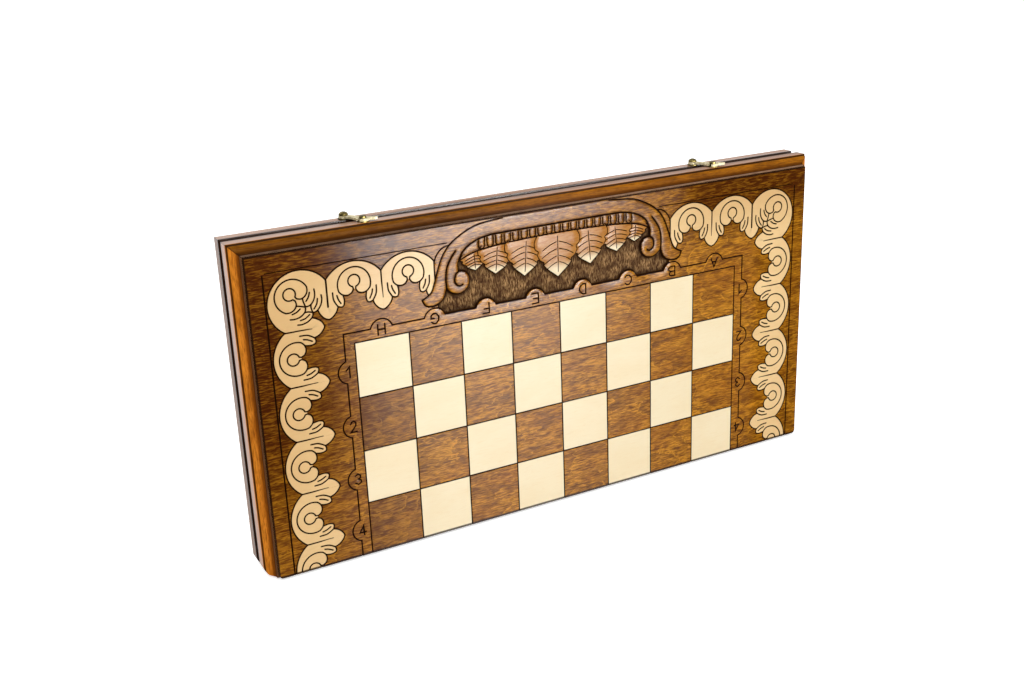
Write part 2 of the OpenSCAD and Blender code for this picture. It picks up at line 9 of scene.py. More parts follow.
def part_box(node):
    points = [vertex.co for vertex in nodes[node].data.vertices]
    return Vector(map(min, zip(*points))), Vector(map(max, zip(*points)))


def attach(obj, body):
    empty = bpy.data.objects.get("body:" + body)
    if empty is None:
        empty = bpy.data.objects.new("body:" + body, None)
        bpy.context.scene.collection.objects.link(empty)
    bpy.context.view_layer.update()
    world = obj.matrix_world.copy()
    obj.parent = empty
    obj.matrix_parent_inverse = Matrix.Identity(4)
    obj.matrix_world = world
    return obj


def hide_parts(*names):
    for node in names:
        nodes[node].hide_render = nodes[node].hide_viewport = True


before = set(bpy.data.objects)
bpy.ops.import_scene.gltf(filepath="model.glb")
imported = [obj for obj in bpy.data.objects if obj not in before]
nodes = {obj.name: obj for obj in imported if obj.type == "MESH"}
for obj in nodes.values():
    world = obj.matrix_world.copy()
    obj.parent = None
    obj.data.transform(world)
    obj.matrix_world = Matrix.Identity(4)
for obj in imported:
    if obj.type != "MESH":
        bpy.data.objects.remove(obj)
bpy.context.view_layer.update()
panelLow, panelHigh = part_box("front_panel")
trayCorner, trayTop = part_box("front_hinge_rail")[1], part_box("front_top_rail")[0][2]

square = 0.042  # side of one chess square; the faces are drawn in squares, from their middle bottom
faceHalf = panelHigh[0] / square
faceTop = (panelHigh[2] - panelLow[2]) / square


def srgb(r, g, b):
    def linear(c):
        c /= 255
        return c / 12.92 if c <= 0.04045 else ((c + 0.055) / 1.055) ** 2.4

    return (linear(r), linear(g), linear(b), 1.0)


# Camera and light

cameraSetup = {
    "place": (-0.43919, -0.7868, 0.44879),
    "turn": (70.581, 2.222, -28.28),
    "lens": 42.264,
    "sensor": 36,
}

# The low lamp in front is only there for its soft reflection in the lacquer
lamps = {
    "keyLamp": {"place": (-0.9, -1.7, 2.2), "aim": (0, 0, 0.1), "size": (1.3, 1.3), "watts": 28},
    "fillLamp": {"place": (1.9, -1.6, 1.3), "aim": (0, 0, 0.1), "size": (1.6, 1.6), "watts": 11.5},
    "rimLamp": {"place": (-0.6, 1.9, 1.9), "aim": (0, 0, 0.1), "size": (1.6, 1.6), "watts": 24},
    "sheenLamp": {"place": (0.47, -1.2, 0.28), "aim": (0, 0, 0.15), "size": (0.45, 0.4), "watts": 125,
                  "gloss": True},
}

backdrop = {"room": 0.65, "floor": (0.85, 0.85, 0.85, 1), "glow": 0.6, "size": 60}


def addCamera():
    bpy.ops.object.camera_add(location=cameraSetup["place"])
    camera = bpy.context.object
    camera.rotation_euler = [math.radians(a) for a in cameraSetup["turn"]]
    camera.data.sensor_width = cameraSetup["sensor"]
    camera.data.lens = cameraSetup["lens"]
    bpy.context.scene.camera = camera


def addLamps():
    for name, lamp in lamps.items():
        bpy.ops.object.light_add(type="AREA", location=lamp["place"])
        light = bpy.context.object
        light.name = name
        light.data.shape = "RECTANGLE"
        light.data.size, light.data.size_y = lamp["size"]
        light.data.energy = lamp["watts"]
        light.visible_diffuse = "gloss" not in lamp
        aim = Vector(lamp["aim"]) - Vector(lamp["place"])
        light.rotation_euler = aim.to_track_quat("-Z", "Y").to_euler()


def seenOrReflected(tree):
    path = tree.nodes.new("ShaderNodeLightPath").outputs
    seen = mathNode(tree, "MAXIMUM", path["Is Camera Ray"], path["Is Glossy Ray"])
    return mathNode(tree, "MAXIMUM", seen, path["Is Transmission Ray"])


def addWorld():
    world = bpy.data.worlds.new("studio")
    bpy.context.scene.world = world
    world.use_nodes = True
    tree = world.node_tree
    tree.nodes.clear()
    output = tree.nodes.new("ShaderNodeOutputWorld")
    mix = tree.nodes.new("ShaderNodeMixShader")
    room = tree.nodes.new("ShaderNodeBackground")
    room.inputs["Color"].default_value = (1, 1, 1, 1)
    room.inputs["Strength"].default_value = backdrop["room"]
    white = tree.nodes.new("ShaderNodeBackground")
    white.inputs["Color"].default_value = (1, 1, 1, 1)
    tree.links.new(seenOrReflected(tree), mix.inputs[0])
    tree.links.new(room.outputs[0], mix.inputs[1])
    tree.links.new(white.outputs[0], mix.inputs[2])
    tree.links.new(mix.outputs[0], output.inputs[0])


def addFloor():
    bpy.ops.mesh.primitive_plane_add(size=backdrop["size"])
    floor = bpy.context.object
    floor.name = "studioFloor"
    material = bpy.data.materials.new("whiteFloor")
    material.use_nodes = True
    tree = material.node_tree
    tree.nodes.clear()
    output = tree.nodes.new("ShaderNodeOutputMaterial")
    add = tree.nodes.new("ShaderNodeAddShader")
    paint = tree.nodes.new("ShaderNodeBsdfDiffuse")
    paint.inputs["Color"].default_value = backdrop["floor"]
    glow = tree.nodes.new("ShaderNodeEmission")
    strength = times(tree, seenOrReflected(tree), backdrop["glow"])
    tree.links.new(strength, glow.inputs["Strength"])
    tree.links.new(paint.outputs[0], add.inputs[0])
    tree.links.new(glow.outputs[0], add.inputs[1])
    tree.links.new(add.outputs[0], output.inputs[0])
    floor.data.materials.append(material)


# Node helpers


def newGroup(name, inputs, outputs):
    group = bpy.data.node_groups.new(name, "ShaderNodeTree")
    for label, kind in inputs:
        group.interface.new_socket(label, in_out="INPUT", socket_type=kind)
    for label, kind in outputs:
        group.interface.new_socket(label, in_out="OUTPUT", socket_type=kind)
    return group, group.nodes.new("NodeGroupInput").outputs, group.nodes.new("NodeGroupOutput").inputs


def feed(tree, socket, value):
    if isinstance(value, bpy.types.NodeSocket):
        tree.links.new(value, socket)
    elif value is not None:
        socket.default_value = value


def mathNode(tree, operation, a, b=None):
    node = tree.nodes.new("ShaderNodeMath")
    node.operation = operation
    feed(tree, node.inputs[0], a)
    feed(tree, node.inputs[1], b)
    return node.outputs[0]


def times(tree, a, b):
    return mathNode(tree, "MULTIPLY", a, b)


def splitAxes(tree, vector):
    node = tree.nodes.new("ShaderNodeSeparateXYZ")
    tree.links.new(vector, node.inputs[0])
    return node.outputs


def spread(tree, value, low, high, toLow=0.0, toHigh=1.0):
    node = tree.nodes.new("ShaderNodeMapRange")
    node.interpolation_type = "SMOOTHSTEP"
    for socket, number in zip(node.inputs, (value, low, high, toLow, toHigh)):
        feed(tree, socket, number)
    return node.outputs[0]


def spreadSquares(tree, value, limits, toLow=0.0, toHigh=1.0):
    return spread(tree, value, limits[0] * square, limits[1] * square, toLow, toHigh)


def blendColors(tree, factor, a, b):
    node = tree.nodes.new("ShaderNodeMix")
    node.data_type = "RGBA"
    feed(tree, node.inputs[0], factor)
    feed(tree, node.inputs[6], a)
    feed(tree, node.inputs[7], b)
    return node.outputs[2]


def mapped(tree, vector, scale, turn=(0, 0, 0)):
    node = tree.nodes.new("ShaderNodeMapping")
    feed(tree, node.inputs["Vector"], vector)
    feed(tree, node.inputs["Scale"], scale)
    feed(tree, node.inputs["Rotation"], [math.radians(a) for a in turn])
    return node.outputs[0]


def noise(tree, vector, scale, detail=4.0, rough=0.55, warp=0.0):
    node = tree.nodes.new("ShaderNodeTexNoise")
    feed(tree, node.inputs["Vector"], vector)
    node.inputs["Scale"].default_value = scale
    node.inputs["Detail"].default_value = detail
    node.inputs["Roughness"].default_value = rough
    node.inputs["Distortion"].default_value = warp
    return node.outputs["Fac"]


def newMaterial(name, metal=0.0):
    material = bpy.data.materials.new(name)
    material.use_nodes = True
    tree = material.node_tree
    shader = tree.nodes["Principled BSDF"]
    shader.inputs["Metallic"].default_value = metal
    place = tree.nodes.new("ShaderNodeTexCoord").outputs["Object"]
    return material, tree, shader, place


def bumped(tree, shader, height, strength, distance):
    node = tree.nodes.new("ShaderNodeBump")
    node.inputs["Strength"].default_value = strength
    node.inputs["Distance"].default_value = distance
    feed(tree, node.inputs["Height"], height)
    tree.links.new(node.outputs[0], shader.inputs["Normal"])


lacquer = {"stretch": 0.95, "turn": 0.25, "bump": 0.25, "bumpDepth": 0.0004}


def lacquered(tree, shader, height):
    # A lacquer over long fibres stretches reflections upright
    shader.inputs["Anisotropic"].default_value = lacquer["stretch"]
    shader.inputs["Anisotropic Rotation"].default_value = lacquer["turn"]
    tangent = tree.nodes.new("ShaderNodeTangent")
    tangent.direction_type = "RADIAL"
    tangent.axis = "Z"
    tree.links.new(tangent.outputs[0], shader.inputs["Tangent"])
    bumped(tree, shader, height, lacquer["bump"], lacquer["bumpDepth"])


def useGroup(tree, group, **values):
    node = tree.nodes.new("ShaderNodeGroup")
    node.node_tree = group
    for label, value in values.items():
        feed(tree, node.inputs[label], value)
    return node.outputs


# Spots per metre along the grain and across it
grainScale = {
    "fibre": (150, 1500, 1500),
    "streak": (130, 900, 900),
    "band": (36, 190, 190),
    "cloud": (14, 34, 34),
    "figure": (11, 17, 17),
    "jag": (180, 420, 420),
    "lines": 8,
}


def makeGrainGroup():
    # Grain runs along X of the vector it is given; Flame counts up between the lines of the figure
    group, given, made = newGroup(
        "woodGrain",
        [("Vector", "NodeSocketVector")],
        [("Fibre", "NodeSocketFloat"), ("Streak", "NodeSocketFloat"), ("Cloud", "NodeSocketFloat"),
         ("Band", "NodeSocketFloat"), ("Flame", "NodeSocketFloat")],
    )

    def layer(kind, detail, rough, warp=0.0, tilt=0, scale=1.0):
        vector = mapped(group, given["Vector"], grainScale[kind], (0, tilt, 0))
        return noise(group, vector, scale, detail, rough, warp)

    feed(group, made["Fibre"], layer("fibre", 3, 0.6))
    feed(group, made["Streak"], layer("streak", 4, 0.6, 0.4))
    feed(group, made["Band"], layer("band", 4, 0.55, 0.6, tilt=6))
    feed(group, made["Cloud"], layer("cloud", 4, 0.6, 0.5))
    figure = times(group, layer("figure", 2, 0.4, 0.5, tilt=9), grainScale["lines"])
    figure = mathNode(group, "ADD", figure, layer("jag", 4, 0.55, scale=0.5))
    feed(group, made["Flame"], mathNode(group, "FRACT", figure))
    return group


grainGroup = makeGrainGroup()

wood = {
    "deep": srgb(98, 56, 8),
    "brown": srgb(160, 90, 8),
    "gold": srgb(216, 146, 34),
    "edge": srgb(66, 26, 2),
    "pale": srgb(248, 232, 196),
    "paleShade": srgb(240, 214, 166),
    "scroll": srgb(242, 208, 154),
    "scrollShade": srgb(224, 182, 122),
    "scrollEdge": srgb(196, 150, 92),
    # Dark burnt wood of the grooves, also used for painted shade beside the pocket walls and under the
    # panel's foot
    "burntAndShade": srgb(34, 16, 5),
    "ground": srgb(58, 31, 12),
    "groundLight": srgb(196, 152, 100),
    "relief": srgb(186, 130, 64),
    "inside": srgb(226, 196, 148),
}


def stainedWood(tree, grain):
    color = blendColors(tree, spread(tree, grain["Streak"], 0.36, 0.64), wood["deep"], wood["gold"])
    color = blendColors(tree, spread(tree, grain["Cloud"], 0.3, 0.7, 0.45, 0.05), color, wood["brown"])
    color = blendColors(tree, spread(tree, grain["Band"], 0.3, 0.5, 0.5, 0), color, wood["deep"])
    color = blendColors(tree, spread(tree, grain["Band"], 0.5, 0.68, 0, 0.55), color, wood["gold"])
    lines = times(tree, spread(tree, grain["Flame"], 0.0, 0.14, 0.8, 0),
                  spread(tree, grain["Cloud"], 0.38, 0.52))
    color = blendColors(tree, lines, color, wood["gold"])
    color = blendColors(tree, spread(tree, grain["Flame"], 0.55, 1.0, 0, 0.4), color, wood["deep"])
    return blendColors(tree, spread(tree, grain["Fibre"], 0.36, 0.54, 0.65, 0), color, wood["deep"])


def makePaleGroup():
    group, given, made = newGroup(
        "paleWood",
        [("Streak", "NodeSocketFloat"), ("Cloud", "NodeSocketFloat"), ("Light", "NodeSocketColor"),
         ("Shade", "NodeSocketColor")],
        [("Color", "NodeSocketColor")],
    )
    light, shade = given["Light"], given["Shade"]
    color = blendColors(group, spread(group, given["Cloud"], 0.35, 0.7, 0, 0.3), light, shade)
    color = blendColors(group, spread(group, given["Streak"], 0.5, 0.75, 0, 0.35), color, shade)
    feed(group, made["Color"], color)
    return group


paleGroup = makePaleGroup()


def paleWood(tree, grain, light, shade):
    made = useGroup(tree, paleGroup, Streak=grain["Streak"], Cloud=grain["Cloud"], Light=light, Shade=shade)
    return made["Color"]


# Places are in squares
faceLook = {
    "upper": (4.3, 5.5),
    "upperSides": (2.3, 3.6),
    "upperShift": 0.15,
    "left": (-5.6, -2.8),
    "leftFoot": (0, 3),
    "right": (4.4, 5.6),
    "firstFile": (-4, -2),
    "dullSide": (4.2, 4.8),
    "dullCorner": (2.3, 3.1),
    "gouge": (1700, 1700, 330),
    "gougeClump": 130,
    "edgeLine": (0.0004, 0.001),  # metres
    # the dark line along the foot is partly painted shadow under the panel's lower edge
    "footLine": (0.0018, 0.0023),
    "edgeDark": 0.92,
    "innerSkin": 0.00005,
}


def makeFaceMaterial():
    # The carve attribute holds red: bare wood, green: groove, scorch and painted shade beside the pocket
    # walls, blue: sunk ground, alpha: relief
    material, tree, shader, place = newMaterial("carvedFace")
    carve = tree.nodes.new("ShaderNodeAttribute")
    carve.attribute_name = "carve"
    parts = tree.nodes.new("ShaderNodeSeparateColor")
    tree.links.new(carve.outputs["Color"], parts.inputs[0])
    bare, groove, ground = parts.outputs
    relief = carve.outputs["Alpha"]
    grain = useGroup(tree, grainGroup, Vector=place)
    pale = paleWood(tree, grain, wood["pale"], wood["paleShade"])
    color = stainedWood(tree, grain)
    x, y, z = splitAxes(tree, place)
    # The stain is darker in the upper corners and down the left edge
    shifted = mathNode(tree, "ADD", x, faceLook["upperShift"] * square)
    upper = times(tree, spreadSquares(tree, z, faceLook["upper"], 0, 0.95),
                  spreadSquares(tree, mathNode(tree, "ABSOLUTE", shifted), faceLook["upperSides"], 0.3, 1))
    left = spreadSquares(tree, x, faceLook["left"])
    left = times(tree, mathNode(tree, "SUBTRACT", 1, left),
                 spreadSquares(tree, z, faceLook["leftFoot"], 0.45, 1))
    right = spreadSquares(tree, x, faceLook["right"], 0, 0.3)
    stain = mathNode(tree, "MAXIMUM", mathNode(tree, "MAXIMUM", upper, right), left)
    streaked = times(tree, stain, spread(tree, grain["Streak"], 0.4, 0.66, 1, 0.65))
    color = blendColors(tree, streaked, color, wood["edge"])
    # So are the squares of the first file
    onBoard = times(tree, mathNode(tree, "GREATER_THAN", x, -4 * square),
                    mathNode(tree, "LESS_THAN", z, panelLow[2] + 4 * square))
    firstFile = spreadSquares(tree, x, faceLook["firstFile"], 0.4, 0)
    color = blendColors(tree, times(tree, firstFile, onBoard), color, wood["edge"])
    warm = blendColors(tree, spread(tree, grain["Streak"], 0.4, 0.7, 0.1, 0.7), wood["relief"], wood["brown"])
    warm = blendColors(tree, spread(tree, relief, 0.5, 1.0), warm, pale)
    color = blendColors(tree, spread(tree, relief, 0.1, 0.3), color, warm)
    scrolls = paleWood(tree, grain, wood["scroll"], wood["scrollShade"])
    scrolls = blendColors(tree, times(tree, stain, 0.5), scrolls, wood["scrollEdge"])
    color = blendColors(tree, spread(tree, bare, 0.2, 0.4), color, scrolls)
    color = blendColors(tree, spread(tree, bare, 0.7, 0.9), color, pale)
    gouge = noise(tree, mapped(tree, place, faceLook["gouge"]), 1.0, 4, 0.6)
    clump = spread(tree, noise(tree, place, faceLook["gougeClump"], 3), 0.35, 0.65, 0.25, 1)
    sunk = blendColors(tree, times(tree, spread(tree, gouge, 0.38, 0.66), clump),
                       wood["ground"], wood["groundLight"])
    color = blendColors(tree, ground, color, sunk)
    # Grooves are dark burnt wood; the green channel also brings the painted shade beside the pocket walls
    color = blendColors(tree, spread(tree, groove, 0.02, 0.35), color, wood["burntAndShade"])
    # Dark line round the edge of the panel; along the foot it is partly painted shadow under the panel's
    # lower edge
    near, far = faceLook["edgeLine"]
    across = mathNode(tree, "ABSOLUTE", x)
    sides = spread(tree, across, panelHigh[0] - far, panelHigh[0] - near)
    over = spread(tree, z, panelHigh[2] - far, panelHigh[2] - near)
    near, far = faceLook["footLine"]
    under = spread(tree, z, panelLow[2] + near, panelLow[2] + far, 1, 0)
    rim = mathNode(tree, "MAXIMUM", mathNode(tree, "MAXIMUM", sides, over), under)
    color = blendColors(tree, times(tree, rim, faceLook["edgeDark"]), color, wood["burntAndShade"])
    inner = mathNode(tree, "LESS_THAN", mathNode(tree, "ABSOLUTE", y),
                     faceLook["innerSkin"] - panelHigh[1])
    color = blendColors(tree, inner, color, paleWood(tree, grain, wood["inside"], wood["paleShade"]))
    tree.links.new(color, shader.inputs["Base Color"])
    tree.links.new(spread(tree, grain["Fibre"], 0.3, 0.7, 0.22, 0.29), shader.inputs["Roughness"])
    carved = mathNode(tree, "ADD", ground, times(tree, groove, 3))
    gloss = spread(tree, carved, 0.1, 0.9, 0.065, 0.005)
    gloss = times(tree, gloss, spread(tree, left, 0.1, 0.8, 1, 0.12))
    dull = mathNode(tree, "MAXIMUM", spreadSquares(tree, x, faceLook["dullSide"], 0, 0.7),
                    times(tree, upper, spreadSquares(tree, x, faceLook["dullCorner"])))
    gloss = times(tree, gloss, spread(tree, dull, 0, 0.7, 1, 0.15))
    tree.links.new(gloss, shader.inputs["Specular IOR Level"])
    gouges = times(tree, ground, times(tree, gouge, 4))
    lacquered(tree, shader, mathNode(tree, "ADD", grain["Fibre"], gouges))
    return material


# Bands lie across a rail by their distance from the joint: start, end, colour and how much of it.
# "back" and "leftDark" are how much darker the back half and the left end are; the darker back half is
# painted shade.
rail = {
    "X": {
        "turn": (0, 0, 0),
        "light": srgb(174, 106, 20),
        "shade": srgb(114, 62, 10),
        "rim": srgb(166, 128, 106),
        "ledge": srgb(196, 156, 124),
        "back": 0,
        "leftDark": 0.5,
    },
    "Z": {
        "turn": (0, 90, 0),
        "light": srgb(222, 134, 40),
        "shade": srgb(140, 72, 10),
        "rim": srgb(170, 124, 94),
        "ledge": srgb(112, 84, 62),
        "back": 0.6,
        "leftDark": 0,
    },
    # Dark wood for the mitre and the fibres, also the colour of the painted shade in the bands and on the
    # back half
    "dark": srgb(30, 13, 5),
    "bands": [
        # rim: the wood made paler and greyer with a painted reflection on the rim flats
        (0.0034, 0.0126, "rim", 0.75),
        # dark: the dark joint line, widened into painted shade in the channel between the halves
        (-0.001, 0.0056, "dark", 0.35),
        (-0.001, 0.0043, "dark", 0.88),
        # dark: painted shade in the small groove behind the rim
        (0.0134, 0.0145, "dark", 0.9),
        # shade and dark: painted shade deepening down into the cove
        (0.0172, 0.0214, "shade", 0.8),
        (0.0177, 0.0214, "dark", 0.45),
        (0.0190, 0.0214, "dark", 0.5),
        # ledge: painted light on the narrow ledge by the panel, a highlight where it faces up on the rails
        # along X
        (0.0202, 0.022, "ledge", 0.6),
    ],
    "bandEdge": 0.0003,
    "leftEnd": (-0.12, 0.06),
    "mitre": (0.0002, 0.0006),
    "mitreDark": 0.75,
    "inLip": 0.0003,
    "topLip": 0.0005,
}


def makeRailMaterial(name, along):
    tones = {**rail, **rail[along]}
    material, tree, shader, place = newMaterial(name)
    grain = useGroup(tree, grainGroup, Vector=mapped(tree, place, (1, 1, 1), tones["turn"]))
    color = blendColors(tree, spread(tree, grain["Cloud"], 0.2, 0.5), tones["shade"], tones["light"])
    color = blendColors(tree, spread(tree, grain["Streak"], 0.45, 0.7, 0, 0.6), color, tones["shade"])
    x, y, z = splitAxes(tree, place)
    across = mathNode(tree, "ABSOLUTE", x)
    depth = mathNode(tree, "ABSOLUTE", y)
    edge = rail["bandEdge"]
    for near, far, tone, share in rail["bands"]:
        band = times(tree, spread(tree, depth, near - edge, near + edge),
                     spread(tree, depth, far - edge, far + edge, 1, 0))
        color = blendColors(tree, times(tree, band, share), color, tones[tone])
    leftEnd = spread(tree, x, *rail["leftEnd"], tones["leftDark"], 0)
    leftEnd = times(tree, leftEnd, spread(tree, depth, 0.0135, 0.0145))
    color = blendColors(tree, leftEnd, color, tones["dark"])
    # The back half of the upright rails is darkened as painted shade
    backHalf = spread(tree, y, 0, 0.001, 0, tones["back"])
    color = blendColors(tree, backHalf, color, tones["dark"])
    color = blendColors(tree, spread(tree, grain["Fibre"], 0.36, 0.56, 0.35, 0), color, tones["dark"])
    # The mitre runs through both upper corners
    offset = mathNode(tree, "SUBTRACT", mathNode(tree, "SUBTRACT", across, panelHigh[0]),
                      mathNode(tree, "SUBTRACT", z, panelHigh[2]))
    mitre = spread(tree, mathNode(tree, "ABSOLUTE", offset), *rail["mitre"], rail["mitreDark"], 0)
    color = blendColors(tree, mitre, color, tones["dark"])
    # The walls inside the tray are bare wood
    inX = mathNode(tree, "LESS_THAN", across, trayCorner[0] + rail["inLip"])
    inZ = mathNode(tree, "LESS_THAN", z, trayTop + rail["topLip"])
    over = mathNode(tree, "GREATER_THAN", z, trayCorner[2] - rail["inLip"])
    inside = times(tree, times(tree, inX, inZ), over)
    color = blendColors(tree, inside, color, paleWood(tree, grain, wood["inside"], wood["paleShade"]))
    tree.links.new(color, shader.inputs["Base Color"])
    tree.links.new(spread(tree, depth, 0.0126, 0.0136, 0.34, 0.6), shader.inputs["Roughness"])
    gloss = times(tree, spread(tree, depth, 0.003, 0.004, 0.05, 0.4),
                  spread(tree, depth, 0.0126, 0.0136, 1, 0.05))
    gloss = times(tree, gloss, spread(tree, y, 0, 0.001, 1, 1 - tones["back"]))
    tree.links.new(gloss, shader.inputs["Specular IOR Level"])
    lacquered(tree, shader, grain["Fibre"])
    return material


metals = {
    "hingeBrass": {"bright": srgb(205, 172, 104), "dull": srgb(150, 118, 60), "rough": 0.28, "metal": 1},
    "latchBrass": {"bright": srgb(214, 203, 168), "dull": srgb(176, 163, 122), "rough": 0.6, "metal": 0.15},
    "agedBrass": {"bright": srgb(112, 100, 58), "dull": srgb(58, 50, 26), "rough": 0.42, "metal": 1},
}
metalSpots = 420  # spots of tarnish per metre


def makeMetalMaterial(name, look):
    material, tree, shader, place = newMaterial(name, metal=look["metal"])
    spots = noise(tree, place, metalSpots, 4, 0.6)
    color = blendColors(tree, spread(tree, spots, 0.4, 0.65), look["dull"], look["bright"])
    tree.links.new(color, shader.inputs["Base Color"])
    rough = spread(tree, spots, 0.35, 0.7, look["rough"] + 0.14, look["rough"])
    tree.links.new(rough, shader.inputs["Roughness"])
    bumped(tree, shader, spots, 0.1, 0.0002)
    return material


men = {
    "lightMen": {"light": srgb(233, 203, 150), "shade": srgb(204, 166, 108)},
    "darkMen": {"light": srgb(96, 52, 26), "shade": srgb(52, 26, 14)},
}


def makeMenMaterial(name, look):
    material, tree, shader, place = newMaterial(name)
    grain = useGroup(tree, grainGroup, Vector=place)
    color = blendColors(tree, spread(tree, grain["Streak"], 0.35, 0.7), look["light"], look["shade"])
    color = blendColors(tree, spread(tree, grain["Cloud"], 0.4, 0.7, 0, 0.4), color, look["shade"])
    tree.links.new(color, shader.inputs["Base Color"])
    tree.links.new(spread(tree, grain["Fibre"], 0.3, 0.7, 0.28, 0.4), shader.inputs["Roughness"])
    bumped(tree, shader, grain["Fibre"], 0.12, 0.0003)
    return material


# Drawing of the face, in squares


def arcPoints(middle, radius, start, end, count):
    angles = [math.radians(start + (end - start) * i / count) for i in range(count + 1)]
    return [(middle[0] + radius * math.cos(a), middle[1] + radius * math.sin(a)) for a in angles]


cornerRound = 0.003 / square
faceOutline = [
    *arcPoints((-faceHalf + cornerRound, cornerRound), cornerRound, 180, 270, 5),
    *arcPoints((faceHalf - cornerRound, cornerRound), cornerRound, -90, 0, 5),
    (faceHalf, faceTop),
    (-faceHalf, faceTop),
]


def smoothLine(points, steps=4):
    ends = [points[0], *points, points[-1]]
    line = []
    for a, b, c, d in zip(ends, ends[1:], ends[2:], ends[3:]):
        for i in range(steps):
            t = i / steps
            line.append(tuple(
                0.5 * (2 * q + (r - p) * t + (2 * p - 5 * q + 4 * r - s) * t * t
                       + (3 * q - p - 3 * r + s) * t ** 3)
                for p, q, r, s in zip(a, b, c, d)
            ))
    return [*line, points[-1]]


def insideOutline(point, outline):
    x, z = point
    inside = False
    for (ax, az), (bx, bz) in zip(outline, [*outline[1:], outline[0]]):
        if (az > z) != (bz > z) and x < ax + (bx - ax) * (z - az) / (bz - az):
            inside = not inside
    return inside


def swapped(points):
    return [(b, a) for a, b in points]


def mirrorX(points):
    return [(-x, z) for x, z in points]


def mirrorZ(points):
    return [(x, -z) for x, z in points]


def placed(points, origin, right, up):
    return [(origin[0] + u * right[0] + v * up[0], origin[1] + u * right[1] + v * up[1]) for u, v in points]


lineWidths = {"scroll": 0.033, "square": 0.03, "frame": 0.033, "glyph": 0.034, "vein": 0.02,
              "borderSide": 0.034, "borderTop": 0.02}

# One scroll of the border: its disc is the origin, the first value points to the board
scroll = {
    "disc": 0.105,
    "neckAngle": 16,
    "curlMiddle": 0.055,
    "curlRadius": 0.292,
    "curlEnd": 70,
    "tip": [(0.101, 0.029), (0.14, 0.022), (0.165, 0.031), (0.204, 0.058), (0.229, 0.111), (0.229, 0.169),
            (0.204, 0.228), (0.155, 0.274)],
    "hoodMiddle": 0.27,
    "hoodRadius": 0.61,
    "half": 0.488,
    "spine": 0.374,
    "lobe": [(0.215, 0.209), (0.298, 0.193), (0.368, 0.199), (0.409, 0.222), (0.415, 0.264), (0.398, 0.311)],
    "leaf": [(0.398, 0.311), (0.474, 0.34), (0.533, 0.387), (0.574, 0.44), (0.592, 0.488)],
    "veins": [[(0.145, 0.387), (0.262, 0.381), (0.333, 0.352), (0.398, 0.311)],
              [(0.204, 0.316), (0.274, 0.299), (0.351, 0.258)]],
}

# The corner scroll stands on the diagonal: first value to the side, second down, and the reverse
corner = {
    "disc": (-5.041, 5.041),
    "hoodMiddle": 0.171,
    "hoodRadius": 0.559,
    "hoodStart": -33.2,
    "spineAt": 0.639,
    "spine": (-0.135, 0.323),
    "fingers": [
        [(0.212, 0.096), (0.223, 0.153), (0.241, 0.212), (0.253, 0.247)],
        [(0.423, -0.024), (0.429, 0.059), (0.406, 0.153), (0.347, 0.229), (0.288, 0.25), (0.253, 0.247)],
        [(0.341, 0.017), (0.317, 0.094), (0.27, 0.159)],
        [(0.347, 0.229), (0.345, 0.282), (0.359, 0.341), (0.37, 0.368)],
        [(0.535, 0.094), (0.541, 0.165), (0.517, 0.259), (0.47, 0.329), (0.417, 0.365), (0.37, 0.368)],
        [(0.467, 0.147), (0.447, 0.235), (0.394, 0.312)],
    ],
    "leaf": [(0.456, 0.345), (0.482, 0.412), (0.535, 0.488), (0.59, 0.528), (0.639, 0.545)],
}

field = {
    "glyphSize": (0.165, 0.185),
    "letterLine": 4.152,
    "digitLine": 4.15,
    "digitSize": (0.125, 0.2),
    "frameSide": 4.187,
    "frameTop": 4.19,
    "baySink": 0.058,
    "bayRadius": 0.208,
    "borderSide": 5.455,
    "borderTop": 5.457,
    "sideEnd": 5.42,
    "topSpan": (-5.41, -2.2),
    "overrun": 0.1,  # lines that leave the panel at its lower edge start below it
    "spineRise": 0.085,
    "spineFoot": 4.72,
    "columnLine": -5.082,
    "rowLine": 5.088,
    "columnUnits": [3.922, 2.945, 1.968, 0.991, 0.014],
    "rowUnits": [-3.92, -2.943],
}

cartouche = {
    "outerBand": [(-1.1, 5.74), (-1.601, 5.69), (-1.925, 5.562), (-2.15, 5.412), (-2.3, 5.225),
                  (-2.406, 4.975), (-2.469, 4.788), (-2.538, 4.631), (-2.65, 4.55), (-2.719, 4.519)],
    "foot": [(-2.719, 4.519), (-2.675, 4.425), (-2.612, 4.384), (-2.525, 4.372), (-2.438, 4.388),
             (-2.362, 4.425), (-2.306, 4.475), (-2.269, 4.55), (-2.238, 4.65)],
    "bandGroove": [(-2.038, 5.288), (-2.1, 5.212), (-2.162, 5.125), (-2.212, 5.025), (-2.24, 4.9),
                   (-2.248, 4.775), (-2.238, 4.65)],
    "sliver": [(-2.162, 5.412), (-2.25, 5.394), (-2.325, 5.35), (-2.388, 5.288), (-2.431, 5.212),
               (-2.452, 5.13)],
    "innerArch": [(0, 5.477), (-1.2, 5.477), (-1.4, 5.465), (-1.601, 5.425), (-1.775, 5.35),
                  (-1.912, 5.238), (-1.981, 5.1), (-1.998, 5.038)],
    "spiral": [(-1.998, 5.038), (-1.998, 4.92), (-2.038, 4.888), (-2.069, 4.838), (-2.081, 4.775),
               (-2.069, 4.712), (-2.025, 4.662), (-1.975, 4.65), (-1.931, 4.672)],
    "volute": [(-2.238, 4.65), (-2.21, 4.6), (-2.162, 4.556), (-2.088, 4.52), (-2.025, 4.509),
               (-1.95, 4.519), (-1.875, 4.556), (-1.812, 4.625), (-1.788, 4.712), (-1.794, 4.8),
               (-1.838, 4.872), (-1.9, 4.908), (-1.998, 4.92)],
    "pocketLeft": -2.44,
    "pocketDepth": 0.0021,
    "wall": 0.0012,
    "grid": 0.0205,
    "gridHalf": 2.75,
    "gridFoot": 4.2,
    "zoneHalf": 2.8,
    "zoneFoot": 4.1,
    "blockTop": 5.9,
    "blockFoot": (-2.2, 4.22),
}

